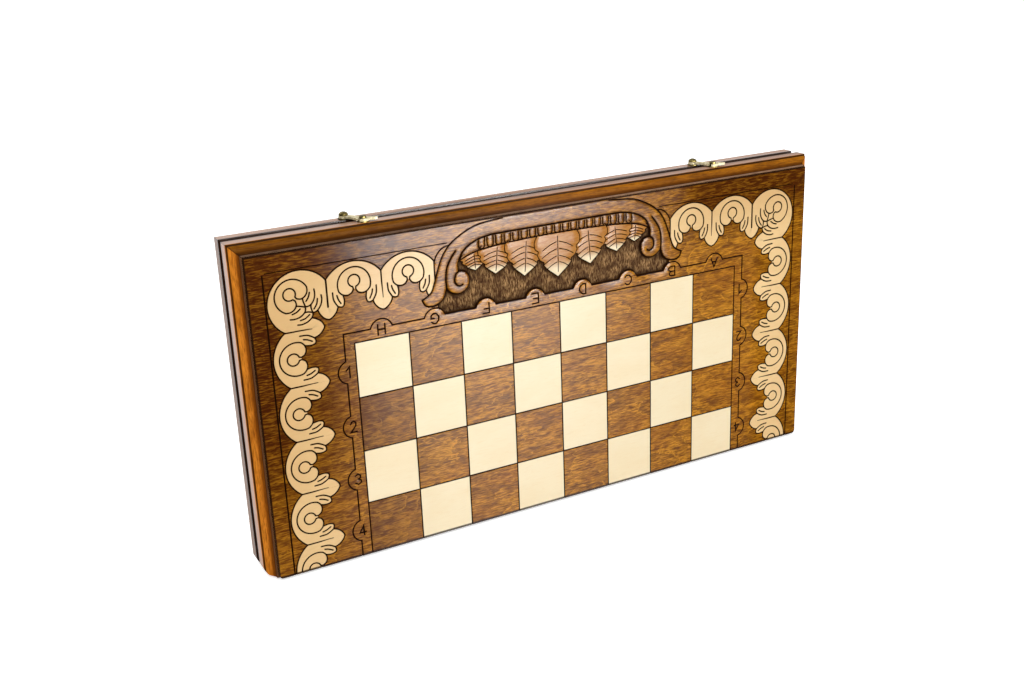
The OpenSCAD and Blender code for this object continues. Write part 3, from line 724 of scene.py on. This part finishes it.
leafRelief = {
    # Leaves hang from the garland, the middle one in front: root, tip and width
    "garland": [(-1.985, 5.09), (-1.7, 5.2), (-1.2, 5.265), (-0.6, 5.29), (0, 5.3)],
    "leaves": [
        {"root": (0, 5.3), "tip": (0, 4.47), "width": 0.94},
        {"root": (-0.64, 5.29), "tip": (-0.69, 4.6), "width": 0.84},
        {"root": (-1.22, 5.26), "tip": (-1.27, 4.74), "width": 0.74},
        {"root": (-1.68, 5.2), "tip": (-1.66, 4.87), "width": 0.54},
    ],
    "shape": [(0.0, 0.86), (0.14, 1.0), (0.3, 0.98), (0.37, 0.84), (0.45, 0.88), (0.57, 0.76), (0.63, 0.6),
              (0.7, 0.6), (0.82, 0.4), (0.91, 0.2), (1.0, 0.0)],
    "ribs": (0.2, 0.36, 0.52, 0.66),
    "midrib": (0.08, 0.5, 0.88),
    "top": 5.35,
    "tone": 0.45,
    "paleTip": (0.42, 0.3),  # share of the leaf that is pale, and how softly it ends
    "tongues": 19,
    "tonguePitch": 0.17,
    "tongueHalf": 0.062,
    "tongueTop": 5.44,
    "tongueFoot": 5.36,
    "tongueSag": 0.022,
}

glyphs = {
    "A": [[(-0.45, -0.5), (0, 0.5), (0.45, -0.5)], [(-0.28, -0.12), (0.28, -0.12)]],
    "B": [[(-0.4, -0.5), (-0.4, 0.5), (0.12, 0.5), (0.36, 0.38), (0.36, 0.16), (0.12, 0.03), (-0.4, 0.03)],
          [(0.12, 0.03), (0.44, -0.12), (0.44, -0.36), (0.16, -0.5), (-0.4, -0.5)]],
    "C": [[(0.42, 0.3), (0.18, 0.49), (-0.14, 0.48), (-0.42, 0.2), (-0.42, -0.2), (-0.14, -0.48),
           (0.18, -0.49), (0.42, -0.3)]],
    "D": [[(-0.4, -0.5), (-0.4, 0.5), (0.02, 0.5), (0.36, 0.28), (0.44, 0), (0.36, -0.28), (0.02, -0.5),
           (-0.4, -0.5)]],
    "E": [[(0.4, -0.5), (-0.38, -0.5), (-0.38, 0.5), (0.4, 0.5)], [(-0.38, 0), (0.26, 0)]],
    "F": [[(-0.36, -0.5), (-0.36, 0.5), (0.42, 0.5)], [(-0.36, 0.04), (0.26, 0.04)]],
    "G": [[(0.42, 0.3), (0.18, 0.49), (-0.14, 0.48), (-0.42, 0.2), (-0.42, -0.2), (-0.14, -0.48),
           (0.18, -0.49), (0.44, -0.28), (0.44, -0.02), (0.08, -0.02)]],
    "H": [[(-0.4, -0.5), (-0.4, 0.5)], [(0.4, -0.5), (0.4, 0.5)], [(-0.4, 0), (0.4, 0)]],
    "1": [[(-0.35, 0.18), (0.15, 0.5), (0.15, -0.5)]],
    "2": [[(-0.42, 0.24), (-0.24, 0.44), (0.08, 0.5), (0.36, 0.34), (0.32, 0.06), (-0.44, -0.5),
           (0.46, -0.5)]],
    "3": [[(-0.4, 0.34), (0, 0.5), (0.36, 0.32), (0.3, 0.1), (-0.06, 0.03)],
          [(-0.06, 0.03), (0.42, -0.14), (0.4, -0.36), (0, -0.5), (-0.44, -0.32)]],
    "4": [[(0.2, -0.5), (0.2, 0.5), (-0.45, -0.22), (0.5, -0.22)]],
    "5": [[(0.38, 0.5), (-0.32, 0.5), (-0.38, 0.04), (0, 0.12), (0.36, -0.02), (0.4, -0.28), (0.08, -0.5),
           (-0.4, -0.38)]],
    "6": [[(0.3, 0.42), (0.02, 0.5), (-0.3, 0.24), (-0.4, -0.16), (-0.16, -0.48), (0.2, -0.48), (0.4, -0.2),
           (0.18, 0.06), (-0.12, 0.06), (-0.38, -0.1)]],
    "7": [[(-0.42, 0.5), (0.44, 0.5), (-0.12, -0.5)]],
    "8": [[(0, 0.03), (-0.34, 0.2), (-0.26, 0.43), (0, 0.5), (0.26, 0.43), (0.34, 0.2), (0, 0.03)],
          [(0, 0.03), (-0.4, -0.18), (-0.3, -0.43), (0, -0.5), (0.3, -0.43), (0.4, -0.18), (0, 0.03)]],
}


def spiralLines():
    tip = smoothLine(scroll["tip"], 3)
    neck, end = scroll["neckAngle"], scroll["curlEnd"]
    ring = arcPoints((0, 0), scroll["disc"], neck, 360 - neck, 22)
    curl = arcPoints((scroll["curlMiddle"], 0), scroll["curlRadius"], end, 360 - end, 26)
    return [ring, curl, tip, mirrorZ(tip)]


def scrollMotif():
    half, middle, radius = scroll["half"], scroll["hoodMiddle"], scroll["hoodRadius"]
    start = 180 - math.degrees(math.asin(half / radius))
    hood = arcPoints((middle, 0), radius, start, 360 - start, 20)
    lobe, leaf = smoothLine(scroll["lobe"], 3), smoothLine(scroll["leaf"], 3)
    upper = [lobe, leaf, *[smoothLine(vein, 3) for vein in scroll["veins"]]]
    lines = [hood, *spiralLines(), *upper, *[mirrorZ(line) for line in upper]]
    lines.append([(hood[0][0], -half), (scroll["spine"], -half)])
    edge = [p for p in smoothLine(scroll["tip"], 3) if 0.139 < p[0] and p[1] < 0.209] + lobe + leaf
    return lines, [*hood, *reversed(mirrorZ(edge)), *edge]


def cornerMotif():
    middle, start = corner["hoodMiddle"], corner["hoodStart"]
    hood = arcPoints((middle, middle), corner["hoodRadius"], start, -270 - start, 28)
    slope = math.sqrt(0.5)
    spiral = [placed(line, (0, 0), (slope, slope), (-slope, slope)) for line in spiralLines()]
    leaf = smoothLine(corner["leaf"], 3)
    spineAt, (top, bottom) = corner["spineAt"], corner["spine"]
    side = [leaf, [(spineAt, top), (spineAt, bottom)], *[smoothLine(line, 3) for line in corner["fingers"]]]
    lines = [hood, *spiral, *side, *[swapped(line) for line in side]]
    edge = [corner["fingers"][3][-1], corner["fingers"][4][-2], *leaf]
    return lines, [*hood, *reversed(swapped(edge)), *edge]


def bayArc(middle, sink, radius, facing):
    # The part of a bay's circle that stands out of the frame line
    reach = math.degrees(math.acos(sink / radius))
    return arcPoints(middle, radius, facing + reach, facing - reach, 14)


def frameLine():
    sink, radius = field["baySink"], field["bayRadius"]
    side, top = field["frameSide"], field["frameTop"]
    line = [(-side, -field["overrun"])]
    for i in range(4):
        line += bayArc((sink - side, i + 0.5), sink, radius, 180)
    line.append((-side, top))
    for i in range(8):
        line += bayArc((i - 3.5, top - sink), sink, radius, 90)
    line.append((side, top))
    for i in reversed(range(4)):
        line += bayArc((side - sink, i + 0.5), sink, radius, 0)
    return [*line, (side, -field["overrun"])]


def pocketOutline(frameBays, garland):
    limit = cartouche["pocketLeft"]
    foot = [p for p in smoothLine(cartouche["foot"], 3) if p[0] > limit]
    arch = [p for p in smoothLine(cartouche["innerArch"], 4) if p[0] < -1.9 and p[1] < garland[0][1]]
    left = [*foot, *smoothLine(cartouche["volute"], 4)[1:], *reversed(arch)]
    floor = [p for p in frameBays if p[1] > cartouche["zoneFoot"] and abs(p[0]) < -limit]
    return [*left, *garland, *reversed(mirrorX(left)), *reversed(floor)]


def leafShape(leaf, side):
    root, tip, half = Vector(leaf["root"]), Vector(leaf["tip"]), leaf["width"] / 2
    axis = tip - root
    across = Vector((-axis[1], axis[0])).normalized() * half

    def spot(t, w):
        return tuple(root + axis * t + across * w)

    right = [spot(t, w) for t, w in leafRelief["shape"]]
    left = [spot(t, -w) for t, w in leafRelief["shape"]]
    outline = smoothLine(right, 3) + smoothLine(left[::-1], 3)[1:]
    lines = [smoothLine([spot(t, 0.0) for t in leafRelief["midrib"]], 4)]
    for t in leafRelief["ribs"]:
        wide = 0.72 - 0.5 * abs(t - 0.3)
        for s in (-1, 1):
            rib = [spot(t, 0.06 * s), spot(t + 0.06, s * wide * 0.55), spot(t + 0.16, s * wide)]
            lines.append(smoothLine(rib, 3))
    if side > 0:
        return outline, lines
    return mirrorX(outline), [mirrorX(line) for line in lines]


def cutAway(line, blocks):
    # The stretches of a line that lie outside all the blocks
    kept = [[]]
    for point in line:
        if any(insideOutline(point, block) for block in blocks):
            kept.append([])
        else:
            kept[-1].append(point)
    return [piece for piece in kept if len(piece) > 1]


def subdivided(line, step=0.03):
    points = []
    for (ax, az), (bx, bz) in zip(line, line[1:]):
        count = max(1, math.ceil(math.hypot(bx - ax, bz - az) / step))
        points += [(ax + (bx - ax) * i / count, az + (bz - az) * i / count) for i in range(count)]
    return [*points, line[-1]]


def drawFace(letters, digits):
    strokes, bare = [], []

    def draw(line, width, both=False):
        strokes.append((line, lineWidths[width]))
        if both:
            strokes.append((mirrorX(line), lineWidths[width]))

    band = smoothLine(cartouche["outerBand"], 4) + smoothLine(cartouche["foot"], 3)[1:]
    top, foot, low = cartouche["blockTop"], cartouche["blockFoot"], -field["overrun"]
    block = [(0, top), (cartouche["outerBand"][0][0], top), *band, foot, (0, foot[1])]
    scrollLines, scrollOutline = scrollMotif()
    cornerLines, cornerOutline = cornerMotif()
    column, row = field["columnLine"], field["rowLine"]
    seats = [((column, z), (1, 0), (0, 1), scrollLines, scrollOutline) for z in field["columnUnits"]]
    seats += [((x, row), (0, -1), (1, 0), scrollLines, scrollOutline) for x in field["rowUnits"]]
    seats.append((corner["disc"], (1, 0), (0, -1), cornerLines, cornerOutline))
    for origin, right, up, lines, outline in seats:
        for line in lines:
            for piece in cutAway(subdivided(placed(line, origin, right, up)), [block]):
                draw(piece, "scroll", True)
        outline = placed(outline, origin, right, up)
        bare += [outline, mirrorX(outline)]
    lastSpine = field["rowUnits"][1] + scroll["half"]
    spine = [(lastSpine, row + field["spineRise"]), (lastSpine, field["spineFoot"])]
    for piece in cutAway(subdivided(spine), [block]):
        draw(piece, "scroll", True)

    for i in range(9):
        draw([(i - 4, low), (i - 4, 4)], "square")
    for i in range(1, 5):
        draw([(-4, i), (4, i)], "square")
    frameBays = frameLine()
    draw(frameBays, "frame")
    draw([(-field["borderSide"], low), (-field["borderSide"], field["sideEnd"])], "borderSide", True)
    draw([(x, field["borderTop"]) for x in field["topSpan"]], "borderTop", True)
    for name in ("bandGroove", "sliver", "innerArch", "spiral", "volute"):
        draw(smoothLine(cartouche[name], 4), "scroll", True)
    draw(band, "scroll", True)

    for i, letter in enumerate(letters):
        wide, high = field["glyphSize"]
        for line in glyphs[letter]:
            draw(placed(line, (i - 3.5, field["letterLine"]), (-wide, 0), (0, -high)), "glyph")
    for i, digit in enumerate(digits):
        wide, high = field["digitSize"]
        for line in glyphs[digit]:
            draw(placed(line, (-field["digitLine"], i + 0.5), (wide, 0), (0, high)), "glyph")
            draw(placed(line, (field["digitLine"], i + 0.5), (-wide, 0), (0, -high)), "glyph")

    garland = smoothLine(leafRelief["garland"], 5)
    garland = [*garland, *reversed(mirrorX(garland[:-1]))]
    draw(garland, "scroll")
    count, top, half = leafRelief["tongues"], leafRelief["tongueTop"], leafRelief["tongueHalf"]
    for i in range(count):
        x = (i + 0.5 - count / 2) * leafRelief["tonguePitch"]
        foot = leafRelief["tongueFoot"] - leafRelief["tongueSag"] * x * x
        draw([(x - half, top), (x - half, foot + 0.01), *arcPoints((x, foot), half, 180, 360, 8),
              (x + half, top)], "vein")
    leaves, front, leafEdges = [], [], []
    for leaf in leafRelief["leaves"]:
        made = [leafShape(leaf, s) for s in ((1, -1) if leaf["root"][0] else (1,))]
        for outline, lines in made:
            visible = cutAway(subdivided(outline), front)
            leafEdges += visible
            for piece in visible:
                draw(piece, "vein")
            for line in lines:
                for piece in cutAway(subdivided(line), front):
                    draw(piece, "vein")
        front += [outline for outline, lines in made]
        leaves += [(outline, leaf) for outline, lines in made]
    pocket = pocketOutline(frameBays, garland)
    return {"strokes": strokes, "bare": bare, "pocket": pocket, "leaves": leaves, "leafEdges": leafEdges,
            "block": [*block, *reversed(mirrorX(block))]}


# Carving


class LineField:
    # Nearest drawn line to a point, found through a tree of points along the lines
    def __init__(self, lines, step=0.008):
        self.spots = []
        for line, width in lines:
            for a, b in zip(line, line[1:]):
                a, b = Vector((*a, 0)), Vector((*b, 0))
                count = max(1, math.ceil((b - a).length / step))
                self.spots += [(a.lerp(b, i / count), a, b, width / 2) for i in range(count + 1)]
        self.tree = KDTree(len(self.spots))
        for i, spot in enumerate(self.spots):
            self.tree.insert(spot[0], i)
        self.tree.balance()

    def distance(self, point):
        start, a, b, half = self.spots[self.tree.find(point)[1]]
        near, part = intersect_point_line(point, a, b)
        near = a if part < 0 else b if part > 1 else near
        return (near - point).length, half


def ribbonLines(line, half):
    # Both edges and the middle of a groove, with a rounded end where the line is open
    points = [Vector(p) for p in line]
    closed = (points[0] - points[-1]).length < 1e-6
    left, right = [], []
    for i, point in enumerate(points):
        before = points[i - 1] if i else (points[-2] if closed else None)
        after = points[i + 1] if i + 1 < len(points) else (points[1] if closed else None)
        steps = [step.normalized() for step in (before and point - before, after and after - point) if step]
        normals = [Vector((-step[1], step[0])) for step in steps]
        middle = (normals[0] + normals[-1]).normalized()
        across = middle * half / max(0.45, middle.dot(normals[0]))
        left.append(point + across)
        right.append(point - across)
    if closed:
        return [left, right, points]
    caps = []
    for point, step in ((points[-1], points[-1] - points[-2]), (points[0], points[0] - points[1])):
        ahead = math.atan2(step[1], step[0])
        turns = [ahead + a for a in (1.05, 0, -1.05)]
        caps.append([point + Vector((math.cos(a), math.sin(a))) * half for a in turns])
    return [[*left, *caps[0], *reversed(right), *caps[1], left[0]], points]


def triangulateFace(drawing):
    corners, edges = [], []

    def addLine(line):
        start = len(corners)
        corners.extend(Vector(p) for p in line)
        edges.extend((i, i + 1) for i in range(start, len(corners) - 1))

    addLine([*faceOutline, faceOutline[0]])
    for line, width in drawing["strokes"]:
        for part in ribbonLines(line, width / 2):
            addLine(part)
    for outline in (*drawing["bare"], *[outline for outline, leaf in drawing["leaves"]], drawing["pocket"]):
        addLine([*outline, outline[0]])
    # Points in a honeycomb carry the relief of the cartouche
    step, half, foot = cartouche["grid"], cartouche["gridHalf"], cartouche["gridFoot"]
    for j in range(int((faceTop - foot) / (step * 0.87))):
        z = foot + step * 0.87 * j
        for i in range(int(2 * half / step)):
            point = (-half + step * (i + j % 2 / 2), z)
            if insideOutline(point, drawing["pocket"]) or insideOutline(point, drawing["block"]):
                corners.append(Vector(point))
    made = delaunay_2d_cdt(corners, edges, [], 0, 1e-5)
    return made[0], made[2]


# Lengths in metres; scorch is how dark the wood is beside a groove, shade how dark the painted shade is
# beside a wall
carving = {
    "groove": 0.0007,
    "scorch": 0.2,
    "scorchReach": 0.0009,
    "scorchFoot": 4.36,  # in squares, above the row of letters
    "shade": 0.34,
    "shadeReach": 0.003,
    "rimRound": 0.0004,
    "roundReach": 0.0009,
    "leafTop": 0.0004,
    "leafFall": 0.0009,
    "leafReach": 0.0024,
    "lip": 0.0003,
    "chamfer": 0.0005,
    "sharp": 28,  # degrees between faces from which an edge isn't smoothed
}


def carveFace(name, letters, digits, side):
    drawing = drawFace(letters, digits)
    spots, faces = triangulateFace(drawing)
    grooves = LineField(drawing["strokes"])
    pocketEdge = LineField([([*drawing["pocket"], drawing["pocket"][0]], 0)], 0.02)
    leafEdge = LineField([(piece, 0) for piece in drawing["leafEdges"]], 0.02)
    leafOutlines = [outline for outline, leaf in drawing["leaves"]]
    wall, floor = cartouche["wall"] / square, cartouche["pocketDepth"]
    heights, tones = [], []
    for spot in spots:
        point = Vector((*spot, 0))
        near, half = grooves.distance(point)
        cut = max(0.0, 1 - near / half)
        drop, sunk = carving["groove"] * cut, 0.0
        if spot[1] > cartouche["zoneFoot"] and abs(spot[0]) < cartouche["zoneHalf"]:
            edge = pocketEdge.distance(point)[0]
            if insideOutline(spot, drawing["pocket"]):
                rim = leafEdge.distance(point)[0]
                if any(insideOutline(spot, outline) for outline in leafOutlines):
                    swell = 1 - math.exp(-rim * square / carving["leafReach"])
                    drop += carving["leafTop"] + carving["leafFall"] * (1 - swell)
                else:
                    start = carving["leafTop"] + carving["leafFall"] if rim < edge else carving["lip"]
                    sunk = min(1.0, min(edge, rim) / wall)
                    drop = start + (floor - start) * (1 - (1 - sunk) ** 2)
                    # The sunk ground gets painted shade beside its walls and the leaf edges
                    away = min(edge, rim) * square / carving["shadeReach"]
                    cut = max(cut, carving["shade"] * math.exp(-away))
            elif insideOutline(spot, drawing["block"]):
                reach = carving["roundReach"] / square
                drop += carving["rimRound"] * (math.exp(-near / reach) + math.exp(-edge / reach))
                beside = max(0.0, min(near - half, edge)) * square
                if spot[1] > carving["scorchFoot"]:
                    cut = max(cut, carving["scorch"] * math.exp(-beside / carving["scorchReach"]))
        heights.append(drop)
        tones.append((cut, sunk))
    bareBoxes = [(outline, min(p[0] for p in outline), max(p[0] for p in outline),
                  min(p[1] for p in outline), max(p[1] for p in outline)) for outline in drawing["bare"]]
    kept, looks = [], []
    for face in faces:
        x = sum(spots[i][0] for i in face) / 3
        z = sum(spots[i][1] for i in face) / 3
        if not insideOutline((x, z), faceOutline):
            continue
        kept.append(face)
        bare = relief = 0.0
        if abs(x) < 4 and z < 4:
            bare = float((math.floor(x + 4) + math.floor(z)) % 2)
        elif not insideOutline((x, z), drawing["block"]):
            bare = 0.5 * any(a <= x <= b and c <= z <= d and insideOutline((x, z), outline)
                             for outline, a, b, c, d in bareBoxes)
        elif z < leafRelief["top"]:
            for outline, leaf in drawing["leaves"]:
                if insideOutline((x, z), outline):
                    low, high = leaf["tip"][1], leaf["root"][1]
                    share, fade = leafRelief["paleTip"]
                    pale = min(1.0, max(0.0, (share - (z - low) / (high - low)) / fade))
                    relief = leafRelief["tone"] + (1 - leafRelief["tone"]) * pale
                    break
        looks.append((bare, relief))
    chamfer = carving["chamfer"]
    wide = (faceHalf * square - chamfer) / (faceHalf * square)
    tall = 1 - 2 * chamfer / (faceTop * square)
    foot = panelLow[2] + chamfer
    vertices = [(side * x * square * wide, side * (panelLow[1] + drop), foot + z * square * tall)
                for (x, z), drop in zip(spots, heights)]
    mesh = bpy.data.meshes.new(name)
    mesh.from_pydata(vertices, [], kept)
    attribute = mesh.color_attributes.new("carve", "FLOAT_COLOR", "CORNER")
    for face, (bare, relief) in zip(mesh.polygons, looks):
        for loop in face.loop_indices:
            cut, sunk = tones[mesh.loops[loop].vertex_index]
            attribute.data[loop].color = (bare, cut, sunk, relief)
    piece = bpy.data.objects.new(name, mesh)
    bpy.context.collection.objects.link(piece)
    thicken(piece, side)
    return piece


def thicken(piece, side):
    # The carved skin gets a small chamfer, its sides and its back
    bpy.ops.object.select_all(action="DESELECT")
    piece.select_set(True)
    bpy.context.view_layer.objects.active = piece
    bpy.ops.object.mode_set(mode="EDIT")
    bpy.ops.mesh.select_mode(type="VERT")
    bpy.ops.mesh.select_all(action="SELECT")
    bpy.ops.mesh.delete_loose()
    bpy.ops.mesh.select_all(action="DESELECT")
    bpy.ops.mesh.select_mode(type="EDGE")
    bpy.ops.mesh.select_non_manifold(extend=False)
    chamfer, thick = carving["chamfer"], panelHigh[1] - panelLow[1]
    bpy.ops.mesh.extrude_edges_move(TRANSFORM_OT_translate={"value": (0, side * chamfer, 0)})
    middle = (0, 0, (panelLow[2] + panelHigh[2]) / 2)
    wide, tall = panelHigh[0] - panelLow[0], panelHigh[2] - panelLow[2]
    grow = (wide / (wide - 2 * chamfer), 1, tall / (tall - 2 * chamfer))
    bpy.ops.transform.resize(value=grow, center_override=middle)
    bpy.ops.mesh.extrude_edges_move(TRANSFORM_OT_translate={"value": (0, side * (thick - chamfer), 0)})
    back = (0, side * panelHigh[1], 0)
    bpy.ops.transform.resize(value=(1, 0, 1), center_override=back)
    bpy.ops.mesh.edge_face_add()
    bpy.ops.mesh.select_all(action="SELECT")
    bpy.ops.mesh.normals_make_consistent(inside=False)
    bpy.ops.object.mode_set(mode="OBJECT")
    bpy.ops.object.shade_smooth_by_angle(angle=math.radians(carving["sharp"]))
    piece.select_set(False)


print("stage: camera and light")
bpy.ops.object.select_all(action="DESELECT")
bpy.context.scene.view_settings.view_transform = "Standard"
addCamera()
addWorld()
addFloor()
addLamps()

print("stage: materials")
faceMaterial = makeFaceMaterial()
railAcross = makeRailMaterial("railAlongX", "X")
railUp = makeRailMaterial("railAlongZ", "Z")
finishes = {name: makeMetalMaterial(name, look) for name, look in metals.items()}
finishes.update({name: makeMenMaterial(name, look) for name, look in men.items()})

for name, node in nodes.items():
    material = railAcross
    if "left_rail" in name or "right_rail" in name:
        material = railUp
    elif "hinge" in name and "rail" not in name:
        material = finishes["hingeBrass"]
    elif "hook" in name:
        material = finishes["latchBrass"]
    elif "latch" in name or "screws" in name:
        material = finishes["agedBrass"]
    elif name.startswith("light_"):
        material = finishes["lightMen"]
    elif name.startswith("dark_"):
        material = finishes["darkMen"]
    node.data.materials.clear()
    node.data.materials.append(material)

print("stage: carved faces")
for half, letters, digits, side in (("front", "HGFEDCBA", "4321", 1), ("back", "ABCDEFGH", "5678", -1)):
    face = carveFace(half + "Face", letters, digits, side)
    face.data.materials.append(faceMaterial)
    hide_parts(half + "_panel")
    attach(face, half + "_half")
    print(face.name, "polygons:", len(face.data.polygons))
